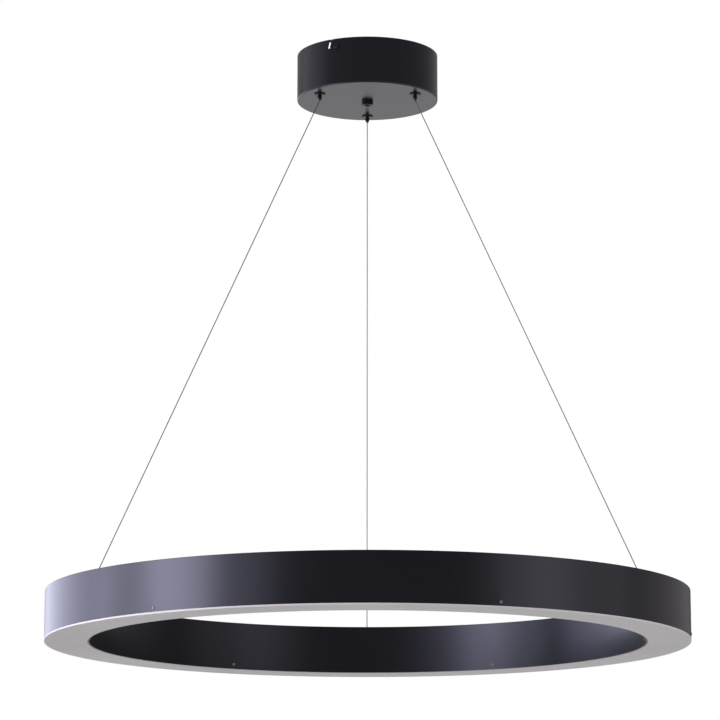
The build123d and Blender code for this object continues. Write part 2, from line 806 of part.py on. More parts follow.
with BuildPart() as anchor_bushes:
    for angle in wire_angles.values():
        with BuildSketch(radial_plane(angle)) as bush_section:
            with BuildLine():
                Polyline(
                    (ring_middle_radius + wire_hole_radius, anchor_bottom_z),
                    (ring_middle_radius + anchor_neck_radius, anchor_bottom_z),
                    (ring_middle_radius + anchor_neck_radius, ring_top_z),
                    (ring_middle_radius + anchor_flange_radius, ring_top_z),
                    (ring_middle_radius + anchor_flange_radius, anchor_top_z),
                    (ring_middle_radius + wire_hole_radius, anchor_top_z),
                    close=True,
                )
            make_face()
            mouth = (ring_middle_radius + wire_hole_radius, anchor_top_z)
            mouth_corner = bush_section.vertices().sort_by_distance(mouth)[0]
            chamfer(mouth_corner, length=anchor_mouth_bevel)
        revolve(axis=upright_axis(angle, ring_middle_radius))
finish(anchor_bushes.part, "anchor_bushes")

with BuildPart() as anchor_nuts:
    with BuildSketch(Plane.XY.offset(web_underside_z)):
        with PolarLocations(ring_middle_radius, len(wire_names), start_angle=rear_wire_angle):
            RegularPolygon(anchor_nut_across / 2, 6, major_radius=False)
            Circle(anchor_neck_radius + thread_clearance, mode=Mode.SUBTRACT)
    extrude(amount=-anchor_nut_height)
finish(anchor_nuts.part, "anchor_nuts")

with BuildPart() as wire_ferrules:
    with BuildSketch(Plane.XY.offset(ferrule_bottom_z)):
        with PolarLocations(ring_middle_radius, len(wire_names), start_angle=rear_wire_angle):
            Circle(ferrule_radius)
            Circle(wire_radius + thread_clearance, mode=Mode.SUBTRACT)
    extrude(amount=ferrule_length)
finish(wire_ferrules.part, "wire_ferrules")

with BuildPart() as cord_inlet_grommet:
    with BuildSketch(radial_plane(inlet_angle)):
        with BuildLine():
            Polyline(
                (ring_middle_radius + inlet_bore_diameter / 2, web_underside_z - inlet_flange_height),
                (ring_middle_radius + inlet_flange_radius, web_underside_z - inlet_flange_height),
                (ring_middle_radius + inlet_flange_radius, web_underside_z),
                (ring_middle_radius + inlet_hole_radius, web_underside_z),
                (ring_middle_radius + inlet_hole_radius, ring_top_z),
                (ring_middle_radius + inlet_flange_radius, ring_top_z),
                (ring_middle_radius + inlet_flange_radius, ring_top_z + inlet_flange_height),
                (ring_middle_radius + inlet_bore_diameter / 2, ring_top_z + inlet_flange_height),
                close=True,
            )
        make_face()
    revolve(axis=upright_axis(inlet_angle, ring_middle_radius))
finish(cord_inlet_grommet.part, "cord_inlet_grommet")
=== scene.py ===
from math import atan2, copysign, cos, pi, radians, sin

import bmesh
import bpy
from mathutils import Matrix, Vector


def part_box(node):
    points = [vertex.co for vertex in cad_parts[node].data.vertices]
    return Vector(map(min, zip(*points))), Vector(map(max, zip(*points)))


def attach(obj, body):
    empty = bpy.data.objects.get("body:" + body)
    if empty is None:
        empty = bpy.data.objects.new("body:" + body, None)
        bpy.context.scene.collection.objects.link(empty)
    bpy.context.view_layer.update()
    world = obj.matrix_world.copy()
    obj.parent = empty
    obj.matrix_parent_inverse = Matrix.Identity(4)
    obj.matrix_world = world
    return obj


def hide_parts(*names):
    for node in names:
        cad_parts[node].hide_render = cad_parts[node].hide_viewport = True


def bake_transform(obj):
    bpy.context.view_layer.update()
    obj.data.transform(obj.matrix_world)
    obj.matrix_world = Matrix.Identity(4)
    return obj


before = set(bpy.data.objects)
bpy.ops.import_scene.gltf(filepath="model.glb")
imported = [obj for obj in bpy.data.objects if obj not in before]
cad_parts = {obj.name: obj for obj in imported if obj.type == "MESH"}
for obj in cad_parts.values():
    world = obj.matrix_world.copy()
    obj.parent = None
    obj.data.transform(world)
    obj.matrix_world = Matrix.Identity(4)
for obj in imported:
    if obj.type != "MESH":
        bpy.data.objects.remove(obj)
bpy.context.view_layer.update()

print("frame loaded:", len(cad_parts), "nodes")


def lowest(nodeName):
    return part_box(nodeName)[0].z


def highest(nodeName):
    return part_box(nodeName)[1].z


# Places on the lamp, in metres and degrees
wireAngles = {"rear": 90.0, "left": 210.0, "right": 330.0}
gripperRadius = 0.070
anchorRadius = 0.3725
wireRadius = 0.0006
screwAngle = 244.1
heights = {
    "capTop": highest("gripper_caps"), "barrelTop": highest("gripper_barrels"), "taperHigh": -0.0500,
    "taperLow": -0.0590, "canopyInside": lowest("gripper_nuts"), "canopyFloor": lowest("canopy_shell"),
    "flange": lowest("gripper_barrels"), "plungerTip": lowest("plunger_rear"),
    "anchorTop": highest("anchor_bushes"), "ferruleBottom": lowest("wire_ferrules"),
}


def around(angle, radius, height):
    return Vector((radius * cos(radians(angle)), radius * sin(radians(angle)), height))


# Materials

def startMaterial(name):
    material = bpy.data.materials.new(name)
    material.use_nodes = True
    tree = material.node_tree
    return material, tree, tree.nodes["Principled BSDF"]


def addNoise(tree, place, scale, detail=2):
    texture = tree.nodes.new("ShaderNodeTexNoise")
    texture.inputs["Scale"].default_value = scale
    texture.inputs["Detail"].default_value = detail
    tree.links.new(place, texture.inputs["Vector"])
    return texture.outputs["Fac"]


def mapRange(tree, source, before, after, curve="LINEAR"):        # carries one range on to another
    node = tree.nodes.new("ShaderNodeMapRange")
    node.interpolation_type = curve
    node.inputs["From Min"].default_value, node.inputs["From Max"].default_value = before
    node.inputs["To Min"].default_value, node.inputs["To Max"].default_value = after
    tree.links.new(source, node.inputs["Value"])
    return node.outputs["Result"]


def colourBetween(tree, source, dark, light):
    mixer = tree.nodes.new("ShaderNodeMix")
    mixer.data_type = "RGBA"
    mixer.inputs["A"].default_value = (*dark, 1)
    mixer.inputs["B"].default_value = (*light, 1)
    tree.links.new(mapRange(tree, source, noiseSpread, (0, 1)), mixer.inputs["Factor"])
    return mixer.outputs["Result"]


def addBump(tree, shader, source, depth):
    bump = tree.nodes.new("ShaderNodeBump")
    bump.inputs["Distance"].default_value = depth
    tree.links.new(source, bump.inputs["Height"])
    tree.links.new(bump.outputs["Normal"], shader.inputs["Normal"])


def grainedFinish(name, values):
    # Cloudy colour, and a fine grain in the gloss and the relief, on Object coordinates
    values = {**plainFinish, **values}
    material, tree, shader = startMaterial(name)
    place = tree.nodes.new("ShaderNodeTexCoord").outputs["Object"]
    clouds = addNoise(tree, place, values["cloudScale"], values["cloudDetail"])
    grain = addNoise(tree, place, values["grainScale"])
    tree.links.new(colourBetween(tree, clouds, values["dark"], values["light"]), shader.inputs["Base Color"])
    tree.links.new(mapRange(tree, grain, noiseSpread, values["roughness"]), shader.inputs["Roughness"])
    shader.inputs["Metallic"].default_value = values["metallic"]
    shader.inputs["Specular IOR Level"].default_value = values["specular"]
    shader.inputs["Specular Tint"].default_value = (*values["tint"], 1)
    shader.inputs["Coat Weight"].default_value = values["coat"]
    shader.inputs["Coat Roughness"].default_value = values["coatRoughness"]
    addBump(tree, shader, grain, values["grainDepth"])
    return material


noiseSpread = (0.3, 0.7)        # most of a noise lies between these
satinTint = (0.80, 0.79, 1.0)        # the cool sheen of the black paint and nylon
plainFinish = {"cloudDetail": 3, "metallic": 0, "specular": 0.5, "tint": (1, 1, 1), "coat": 0,
               "coatRoughness": 0.1}
finishes = {
    "blackCoat": {"dark": (0.0024, 0.0023, 0.0028), "light": (0.0036, 0.0035, 0.0042), "cloudScale": 9,
                  "grainScale": 1500, "roughness": (0.27, 0.33), "grainDepth": 0.00001, "tint": satinTint},
    "opalDiffuser": {"dark": (0.55, 0.52, 0.525), "light": (0.61, 0.58, 0.585), "cloudScale": 6,
                     "grainScale": 2600, "roughness": (0.5, 0.6), "grainDepth": 0.000008, "specular": 0.25},
    "zincPlate": {"dark": (0.50, 0.51, 0.50), "light": (0.64, 0.65, 0.63), "cloudScale": 60,
                  "grainScale": 1400, "roughness": (0.30, 0.46), "grainDepth": 0.00001, "metallic": 1},
    "blackScrew": {"dark": (0.006, 0.006, 0.007), "light": (0.014, 0.014, 0.016), "cloudScale": 300,
                   "grainScale": 3000, "roughness": (0.24, 0.34), "grainDepth": 0.000005, "specular": 0.4},
    "brightScrew": {"dark": (0.40, 0.40, 0.41), "light": (0.54, 0.54, 0.55), "cloudScale": 400,
                    "grainScale": 4000, "roughness": (0.20, 0.30), "grainDepth": 0.000004, "metallic": 1},
    "greyScrew": {"dark": (0.17, 0.17, 0.173), "light": (0.23, 0.23, 0.233), "cloudScale": 600,
                  "grainScale": 5000, "roughness": (0.34, 0.46), "grainDepth": 0.000004, "metallic": 0.25},
    "gripperBlack": {"dark": (0.003, 0.003, 0.0036), "light": (0.006, 0.006, 0.007), "cloudScale": 200,
                     "grainScale": 3000, "roughness": (0.24, 0.32), "grainDepth": 0.000005,
                     "specular": 0.25, "tint": satinTint},
    "bearingSteel": {"dark": (0.70, 0.70, 0.71), "light": (0.76, 0.76, 0.77), "cloudScale": 500,
                     "grainScale": 5000, "roughness": (0.06, 0.12), "grainDepth": 0.000001, "metallic": 1},
    "springSteel": {"dark": (0.40, 0.40, 0.41), "light": (0.52, 0.52, 0.52), "cloudScale": 700,
                    "grainScale": 5000, "roughness": (0.26, 0.4), "grainDepth": 0.000003, "metallic": 1},
    "blackNylon": {"dark": (0.003, 0.003, 0.0036), "light": (0.006, 0.006, 0.007), "cloudScale": 120,
                   "grainScale": 2400, "roughness": (0.27, 0.34), "grainDepth": 0.000006,
                   "specular": 0.25, "tint": satinTint},
    "driverPlastic": {"dark": (0.66, 0.66, 0.64), "light": (0.72, 0.72, 0.70), "cloudScale": 25,
                      "grainScale": 1800, "roughness": (0.42, 0.55), "grainDepth": 0.00003},
    "blockNylon": {"dark": (0.58, 0.56, 0.50), "light": (0.66, 0.64, 0.58), "cloudScale": 90,
                   "grainScale": 2200, "roughness": (0.34, 0.46), "grainDepth": 0.00001},
    "foamTape": {"dark": (0.07, 0.07, 0.075), "light": (0.13, 0.13, 0.14), "cloudScale": 900,
                 "grainScale": 2600, "roughness": (0.8, 0.95), "grainDepth": 0.00015},
    "boardMask": {"dark": (0.74, 0.74, 0.72), "light": (0.82, 0.82, 0.80), "cloudScale": 80,
                  "grainScale": 1800, "roughness": (0.3, 0.42), "grainDepth": 0.00001},
    "chipPhosphor": {"dark": (0.72, 0.55, 0.09), "light": (0.84, 0.66, 0.15), "cloudScale": 1500,
                     "grainScale": 4000, "roughness": (0.2, 0.3), "grainDepth": 0.00002, "coat": 0.6},
    "thermalPad": {"dark": (0.30, 0.32, 0.35), "light": (0.38, 0.40, 0.43), "cloudScale": 120,
                   "grainScale": 2500, "roughness": (0.7, 0.85), "grainDepth": 0.00004},
    "leadSheath": {"dark": (0.16, 0.075, 0.035), "light": (0.24, 0.12, 0.06), "cloudScale": 200,
                   "grainScale": 2500, "roughness": (0.35, 0.5), "grainDepth": 0.00001},
}
materials = {name: grainedFinish(name, values) for name, values in finishes.items()}

strandedSteel = {
    "dark": (0.18, 0.18, 0.185), "light": (0.24, 0.24, 0.245), "cloudScale": 60, "roughness": (0.50, 0.44),
    "strands": 6, "lay": 0.008, "strandDepth": 0.00006,
    "radiansPerUnit": 10,        # of the texture's own diagonal waves
}


def strandedWireFinish(values):
    # Steel whose strands wind round the wire; its UV map is in metres along and turns around
    material, tree, shader = startMaterial("strandedWire")
    mapping = tree.nodes.new("ShaderNodeMapping")
    perTurn = values["strands"] * 2 * pi / values["radiansPerUnit"]
    mapping.inputs["Scale"].default_value = (perTurn / values["lay"], perTurn, 1)
    tree.links.new(tree.nodes.new("ShaderNodeUVMap").outputs["UV"], mapping.inputs["Vector"])
    waves = tree.nodes.new("ShaderNodeTexWave")
    waves.bands_direction = "DIAGONAL"
    waves.inputs["Scale"].default_value = 1
    tree.links.new(mapping.outputs["Vector"], waves.inputs["Vector"])
    strands = waves.outputs["Fac"]
    place = tree.nodes.new("ShaderNodeTexCoord").outputs["Object"]
    clouds = addNoise(tree, place, values["cloudScale"])
    tree.links.new(colourBetween(tree, clouds, values["dark"], values["light"]), shader.inputs["Base Color"])
    tree.links.new(mapRange(tree, strands, noiseSpread, values["roughness"]), shader.inputs["Roughness"])
    shader.inputs["Metallic"].default_value = 1
    addBump(tree, shader, strands, values["strandDepth"])
    return material


materials["strandedWire"] = strandedWireFinish(strandedSteel)

# The CAD nodes that stay in view; the pieces made below replace the others
nodeFinishes = {
    "blackCoat": ["canopy_shell", "ring_housing", "ceiling_bracket"],
    "opalDiffuser": ["diffuser_ring"],
    "zincPlate": ["gripper_caps", "anchor_nuts", "wire_ferrules"],
    "gripperBlack": ["anchor_bushes", "plunger_rear", "plunger_left", "plunger_right"],
    "bearingSteel": ["balls_rear", "balls_left", "balls_right"],
    "blackNylon": ["cord_inlet_grommet"],
    "driverPlastic": ["driver_case"],
    "blockNylon": ["terminal_block"],
    "foamTape": ["driver_pad"],
    "boardMask": ["led_boards"],
    "chipPhosphor": ["led_chips"],
    "thermalPad": ["thermal_pads"],
    "leadSheath": ["driver_leads"],
}
for finishName, nodeNames in nodeFinishes.items():
    for nodeName in nodeNames:
        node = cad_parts[nodeName]
        node.data.materials.clear()
        node.data.materials.append(materials[finishName])
print("finishes set:", len(materials))


# Screws, nuts and turned pieces

def rollBy(angle):
    return Matrix.Rotation(radians(angle), 4, "Z")


def upright(place, angle=0):
    return Matrix.Translation(place) @ rollBy(angle)


def facing(place, way):        # puts a shape's origin at this place, and turns its top this way
    return Matrix.Translation(place) @ Vector(way).to_track_quat("Z", "Y").to_matrix().to_4x4()


def placeRim(vertices, radius, height):        # either can be a number or depend on the turn
    for vertex in vertices:
        turn = atan2(vertex.co.y, vertex.co.x)
        reach = radius(turn) if callable(radius) else radius
        level = height(turn) if callable(height) else height
        vertex.co = (reach * cos(turn), reach * sin(turn), level)


def pushRim(shape, rim, radius, height):        # carries an open rim on to a new radius and height
    grown = bmesh.ops.extrude_edge_only(shape, edges=rim)["geom"]
    placeRim([item for item in grown if isinstance(item, bmesh.types.BMVert)], radius, height)
    return [item for item in grown if isinstance(item, bmesh.types.BMEdge) and item.is_boundary]


def turned(profile, sides=48):        # a bored piece from the radii and heights round its section
    shape = bmesh.new()
    bmesh.ops.create_circle(shape, segments=sides, radius=1)
    placeRim(shape.verts, *profile[0])
    firstRim = rim = list(shape.edges)
    for radius, height in profile[1:]:
        rim = pushRim(shape, rim, radius, height)
    bmesh.ops.bridge_loops(shape, edges=firstRim + rim)
    return shape


threadForm = {"crestStart": 0.85, "root": 0.5, "crestEnd": 0.15}        # shares of one pitch


def grooves(radius, depth, pitch, start, end):        # the section of a thread, from start to end
    count = round(abs(end - start) / pitch)
    step = (end - start) / count
    section = []
    for groove in range(count):
        section += [(radius, start + (groove + threadForm["crestEnd"]) * step),
                    (radius - depth, start + (groove + threadForm["root"]) * step),
                    (radius, start + (groove + threadForm["crestStart"]) * step)]
    return section


def hexagonal(across):        # a hexagon's radius at each turn
    return lambda turn: across / 2 / cos(turn % radians(60) - radians(30))


nutForm = {"faceShare": 0.475, "chamferSlope": 0.5, "boreEase": 0.0004}


def hexNut(nut):        # a nut that stands on zero, its corners chamfered at both ends
    outline = hexagonal(nut["across"])
    face = nut["across"] * nutForm["faceShare"]
    eased = nut["bore"] + nutForm["boreEase"]
    top = nut["height"]

    def lowerChamfer(turn):
        return (outline(turn) - face) * nutForm["chamferSlope"]

    def upperChamfer(turn):
        return top - lowerChamfer(turn)

    return turned([
        (nut["bore"], top - nutForm["boreEase"]),
        (eased, top),
        (face, top),
        (outline, upperChamfer),
        (outline, lowerChamfer),
        (face, 0),
        (eased, 0),
        (nut["bore"], nutForm["boreEase"]),
    ])


def crossHead(head):        # a screw's crown with its cross recess, and its open rim
    shape = bmesh.new()
    bmesh.ops.create_grid(shape, x_segments=5, y_segments=5, size=2.5)
    lines = (head["slotWidth"] / 2, head["slotReach"], head["crown"])
    for vertex in shape.verts:        # the grid's lines move to the recess's sides and ends and to the rim
        x, y = (copysign(lines[int(abs(way))], way) for way in vertex.co.xy)
        vertex.co = (x, y, head["height"])
    bmesh.ops.subdivide_edges(shape, edges=[edge for edge in shape.edges if edge.is_boundary], cuts=1)
    rim = [edge for edge in shape.edges if edge.is_boundary]
    placeRim({vertex for edge in rim for vertex in edge.verts}, head["crown"], head["height"])
    recess = []
    for face in shape.faces:
        near, far = sorted(abs(way) for way in face.calc_center_median().xy)
        if near < lines[0] and far < lines[1]:
            recess.append(face)
    bmesh.ops.inset_region(shape, faces=recess, thickness=head["slotTaper"], depth=-head["slotDepth"],
                           use_even_offset=True)
    return shape, rim


# The crown's rounding in degrees and the thread's start in metres; the others are shares of the screw's sizes
screwForm = {"crownTurns": (30, 60, 90), "washerEdge": 0.9, "threadDepth": 0.35, "threadStart": 0.0002,
             "threadLength": 0.9, "tipRadius": 0.7}


def screwShape(head, shank):        # its seat is at zero, its head above and its shank below
    shape, rim = crossHead(head)
    ease = head["radius"] - head["crown"]
    for angle in screwForm["crownTurns"]:
        turn = radians(angle)
        rim = pushRim(shape, rim, head["crown"] + ease * sin(turn), head["height"] - ease * (1 - cos(turn)))
    section = [(head["radius"], 0)]
    if "washer" in head:
        section = [(head["radius"], head["washerHeight"]),
                   (head["washer"], head["washerHeight"] * screwForm["washerEdge"]), (head["washer"], 0)]
    section += [(shank["radius"], 0)]
    section += grooves(shank["radius"], shank["pitch"] * screwForm["threadDepth"], shank["pitch"],
                       -screwForm["threadStart"], -shank["length"] * screwForm["threadLength"])
    section += [(shank["radius"] * screwForm["tipRadius"], -shank["length"])]
    for radius, height in section:
        rim = pushRim(shape, rim, radius, height)
    bmesh.ops.edgeloop_fill(shape, edges=rim)
    return shape


def dress(piece, finishName):
    piece.data.materials.clear()
    piece.data.materials.append(materials[finishName])


sharpAngle = 32        # edges that turn more than this stay crisp


def putInOrder(items, place):        # by their places, since the operators' own order changes from run to run
    for index, item in enumerate(sorted(items, key=lambda item: tuple(place(item)))):
        item.index = index
    items.sort()


def settle(name, shape, places, finishName):        # one piece from copies of the shape at these places
    bmesh.ops.recalc_face_normals(shape, faces=shape.faces)
    putInOrder(shape.verts, lambda vertex: vertex.co)
    putInOrder(shape.faces, lambda face: face.calc_center_median())
    single = bpy.data.meshes.new(name)
    shape.to_mesh(single)
    shape.free()
    whole = bmesh.new()
    for place in places:
        copy = single.copy()
        copy.transform(place)
        whole.from_mesh(copy)
        bpy.data.meshes.remove(copy)
    bpy.data.meshes.remove(single)
    for face in whole.faces:
        face.smooth = True
    mesh = bpy.data.meshes.new(name)
    whole.to_mesh(mesh)
    whole.free()
    mesh.set_sharp_from_angle(angle=radians(sharpAngle))
    piece = bpy.data.objects.new(name, mesh)
    bpy.context.scene.collection.objects.link(piece)
    dress(piece, finishName)
    return piece


sideScrew = {
    "seat": 0.0903, "height": -0.0105, "slotTurns": {0: 12, 180: 55},
    "head": {"radius": 0.0030, "crown": 0.0022, "height": 0.0025, "washer": 0.0035, "washerHeight": 0.0007,
             "slotWidth": 0.0009, "slotReach": 0.00165, "slotDepth": 0.0012, "slotTaper": 0.00018},
    "shank": {"radius": 0.0015, "length": 0.0065, "pitch": 0.0005},
}
places = []
for side, slotTurn in sideScrew["slotTurns"].items():
    angle = screwAngle + side
    spot = facing(around(angle, sideScrew["seat"], sideScrew["height"]), around(angle, 1, 0))
    places.append(spot @ rollBy(slotTurn))
sideScrews = settle("sideScrews", screwShape(sideScrew["head"], sideScrew["shank"]), places,
                    "blackScrew")
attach(sideScrews, "bracket")
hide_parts("side_screws")

earthScrew = {
    "offset": 0.048, "seat": -0.002,
    "head": {"radius": 0.0030, "crown": 0.0022, "height": 0.0026, "washer": 0.0035, "washerHeight": 0.0006,
             "slotWidth": 0.0010, "slotReach": 0.0017, "slotDepth": 0.0013, "slotTaper": 0.0002},
    "shank": {"radius": 0.0020, "length": 0.0019, "pitch": 0.0005},
}
spot = facing(around(screwAngle, earthScrew["offset"], earthScrew["seat"]), (0, 0, -1))
earthScrewPiece = settle("earthScrew", screwShape(earthScrew["head"], earthScrew["shank"]), [spot],
                         "brightScrew")
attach(earthScrewPiece, "bracket")
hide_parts("earth_screw")

diffuserScrew = {
    "count": 6, "height": -0.7515, "slotTurn": 37,
    "head": {"radius": 0.0018, "crown": 0.0012, "height": 0.0010,
             "slotWidth": 0.0005, "slotReach": 0.0009, "slotDepth": 0.0006, "slotTaper": 0.0001},
    "shank": {"radius": 0.0010, "length": 0.0034, "pitch": 0.0006},
}
screwRows = {        # the way is outwards from the ring's axis, or inwards
    "outerDiffuserScrews": {"node": "outer_diffuser_screws", "firstAngle": 52, "seat": 0.40002, "way": 1},
    "innerDiffuserScrews": {"node": "inner_diffuser_screws", "firstAngle": 61, "seat": 0.34498, "way": -1},
}
for name, row in screwRows.items():
    places = []
    for index in range(diffuserScrew["count"]):
        angle = row["firstAngle"] + index * 360 / diffuserScrew["count"]
        spot = facing(around(angle, row["seat"], diffuserScrew["height"]), around(angle, row["way"], 0))
        places.append(spot @ rollBy(diffuserScrew["slotTurn"] * index))
    screws = settle(name, screwShape(diffuserScrew["head"], diffuserScrew["shank"]), places,
                    "greyScrew")
    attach(screws, "ring")
    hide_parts(row["node"])

terminalScrew = {"pitch": 0.012, "crown": 0.0017, "radius": 0.0020, "edge": 0.0003, "slotTurn": 25,
                 "slotWidth": 0.0008, "slotReach": 0.0012, "slotDepth": 0.0010, "slotTaper": 0.00015}
low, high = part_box("terminal_screws")
middle = (low + high) / 2
shape, rim = crossHead({**terminalScrew, "height": high.z})
rim = pushRim(shape, rim, terminalScrew["radius"], high.z - terminalScrew["edge"])
rim = pushRim(shape, rim, terminalScrew["radius"], low.z)
bmesh.ops.edgeloop_fill(shape, edges=rim)
places = []
for pole in (-1, 0, 1):
    places.append(upright((pole * terminalScrew["pitch"], middle.y, 0), pole * terminalScrew["slotTurn"]))
terminalScrews = settle("terminalScrews", shape, places, "zincPlate")
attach(terminalScrews, "canopy")
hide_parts("terminal_screws")
print("screws made")

gripperNut = {"across": 0.014, "height": 0.004, "bore": 0.0051}
places = []
for angle in wireAngles.values():
    places.append(upright(around(angle, gripperRadius, heights["canopyInside"]), angle))
gripperNuts = settle("gripperNuts", hexNut(gripperNut), places, "zincPlate")
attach(gripperNuts, "canopy")
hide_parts("gripper_nuts")

# Each barrel has a thin flange under the canopy, a thread, and the taper that its balls wedge in
barrel = {"radius": 0.0050, "hole": 0.0026, "holeEase": 0.0002, "flange": 0.00725, "flangeEase": 0.0004,
          "flangeRound": 0.00012, "taperLow": 0.00275, "taperHigh": 0.00395, "pitch": 0.0010, "depth": 0.0004,
          "plainTop": 0.0006, "topEase": 0.0003}
flangeUnder = heights["flange"]
threadEnd = heights["barrelTop"] - barrel["plainTop"]
barrelSection = [
    (barrel["hole"], heights["taperLow"]),
    (barrel["hole"], flangeUnder + barrel["holeEase"]),
    (barrel["hole"] + barrel["holeEase"], flangeUnder),
    (barrel["flange"] - barrel["flangeEase"], flangeUnder),
    (barrel["flange"] - barrel["flangeRound"], flangeUnder + barrel["flangeRound"]),
    (barrel["flange"], flangeUnder + barrel["flangeEase"]),
    (barrel["flange"], heights["canopyFloor"]),
    (barrel["radius"], heights["canopyFloor"]),
    *grooves(barrel["radius"], barrel["depth"], barrel["pitch"], heights["canopyInside"], threadEnd),
    (barrel["radius"], threadEnd),
    (barrel["radius"] - barrel["topEase"], heights["barrelTop"]),
    (barrel["taperHigh"], heights["barrelTop"]),
    (barrel["taperHigh"], heights["taperHigh"]),
    (barrel["taperLow"], heights["taperLow"]),
]
places = [upright(around(angle, gripperRadius, 0)) for angle in wireAngles.values()]
barrels = settle("gripperBarrels", turned(barrelSection), places, "gripperBlack")
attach(barrels, "canopy")
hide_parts("gripper_barrels")

# A plain ring stands round each plunger, low enough to clear the flange when it is pressed
plungerRing = {"bore": 0.00238, "radius": 0.0027, "bottom": -0.0660, "top": -0.0637, "ease": 0.0002,
               "sides": 32}
easedRadius = plungerRing["radius"] - plungerRing["ease"]
ringSection = [
    (plungerRing["bore"], plungerRing["bottom"]),
    (easedRadius, plungerRing["bottom"]),
    (plungerRing["radius"], plungerRing["bottom"] + plungerRing["ease"]),
    (plungerRing["radius"], plungerRing["top"] - plungerRing["ease"]),
    (easedRadius, plungerRing["top"]),
    (plungerRing["bore"], plungerRing["top"]),
]
for wireName, angle in wireAngles.items():
    ringPiece = settle("plungerRing_" + wireName, turned(ringSection, plungerRing["sides"]),
                       [upright(around(angle, gripperRadius, 0))], "gripperBlack")
    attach(ringPiece, "plunger_" + wireName)

# Each spring is wound from its plunger's collar up to the cap, with a closed turn at both ends
coilSpring = {"wire": 0.0003, "middle": 0.00265, "sides": 8, "stepsPerTurn": 24, "openTurns": 5,
              "closedPitch": 2.1}        # in wire radii
for wireName in wireAngles:
    low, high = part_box("spring_" + wireName)
    middle = (low + high) / 2
    closedRise = coilSpring["closedPitch"] * coilSpring["wire"]
    openRise = high.z - low.z - 2 * closedRise - 2 * coilSpring["wire"]
    wireStart = (middle.x + coilSpring["middle"], middle.y, low.z + coilSpring["wire"])
    shape = bmesh.new()
    bmesh.ops.create_circle(shape, segments=coilSpring["sides"], radius=coilSpring["wire"])
    bmesh.ops.rotate(shape, verts=shape.verts, matrix=Matrix.Rotation(radians(90), 3, "X"))
    bmesh.ops.translate(shape, verts=shape.verts, vec=wireStart)
    bmesh.ops.edgeloop_fill(shape, edges=shape.edges)
    lastRim = [*shape.verts, *shape.edges]
    for turns, rise in ((1, closedRise), (coilSpring["openTurns"], openRise), (1, closedRise)):
        steps = turns * coilSpring["stepsPerTurn"]
        wound = bmesh.ops.spin(shape, geom=lastRim, cent=(middle.x, middle.y, 0), axis=(0, 0, 1),
                               dvec=(0, 0, rise / steps), angle=2 * pi * turns, steps=steps)
        lastRim = wound["geom_last"]
    bmesh.ops.edgeloop_fill(shape, edges=[item for item in lastRim if isinstance(item, bmesh.types.BMEdge)])
    spring = settle("spring_" + wireName + "_coil", shape, [Matrix()], "springSteel")
    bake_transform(spring)
    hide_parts("spring_" + wireName)
print("gripper pieces made")

# The cord gland: a collar with a thread through the canopy's floor, a fluted nut below and a locknut above
collar = {"radius": 0.0074, "bore": 0.0032, "ease": 0.0003, "seatEase": 0.0001, "threadRadius": 0.0060,
          "pitch": 0.0010, "threadDepth": 0.0005, "plainTop": 0.0005, "topEase": 0.0004}
low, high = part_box("cord_gland_body")
collarSection = [
    (collar["bore"], low.z),
    (collar["radius"] - collar["ease"], low.z),
    (collar["radius"], low.z + collar["ease"]),
    (collar["radius"], heights["canopyFloor"] - collar["seatEase"]),
    (collar["radius"] - collar["seatEase"], heights["canopyFloor"]),
    (collar["threadRadius"], heights["canopyFloor"]),
    *grooves(collar["threadRadius"], collar["threadDepth"], collar["pitch"], heights["canopyInside"],
             high.z - collar["plainTop"]),
    (collar["threadRadius"] - collar["topEase"], high.z),
    (collar["bore"], high.z),
]
glandBody = settle("glandBody", turned(collarSection), [Matrix()], "blackNylon")
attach(glandBody, "canopy")
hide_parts("cord_gland_body")

flutedNut = {"radius": 0.0074, "bore": 0.0032, "sides": 96, "flutes": 12, "fluteDepth": 0.0004,
             "fluteCurve": 0.7, "topEase": 0.0003, "fluteEnd": 0.0008,
             "foot": ((0.0007, 0.0003), (0.0013, 0)),        # in from the radius, up from the lower end
             "mouth": ((0.0012, 0), (0.0006, 0.0004), (0, 0.0014))}        # out from the bore, up


def fluted(turn):
    ridge = max(0.0, cos(flutedNut["flutes"] * turn)) ** flutedNut["fluteCurve"]
    return flutedNut["radius"] - flutedNut["fluteDepth"] * ridge


low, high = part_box("cord_gland_nut")
nutSection = [
    (flutedNut["bore"], high.z),
    (flutedNut["radius"] - flutedNut["fluteDepth"], high.z),
    (fluted, high.z - flutedNut["topEase"]),
    (fluted, low.z + flutedNut["fluteEnd"]),
]
nutSection += [(flutedNut["radius"] - inward, low.z + rise) for inward, rise in flutedNut["foot"]]
nutSection += [(flutedNut["bore"] + outward, low.z + rise) for outward, rise in flutedNut["mouth"]]
glandNut = settle("glandNut", turned(nutSection, flutedNut["sides"]), [Matrix()], "blackNylon")
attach(glandNut, "canopy")
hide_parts("cord_gland_nut")

locknut = {"across": 0.017, "height": 0.004, "bore": 0.0061}
glandLocknut = settle("glandLocknut", hexNut(locknut), [upright((0, 0, heights["canopyInside"]))],
                      "blackNylon")
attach(glandLocknut, "canopy")
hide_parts("cord_gland_locknut")

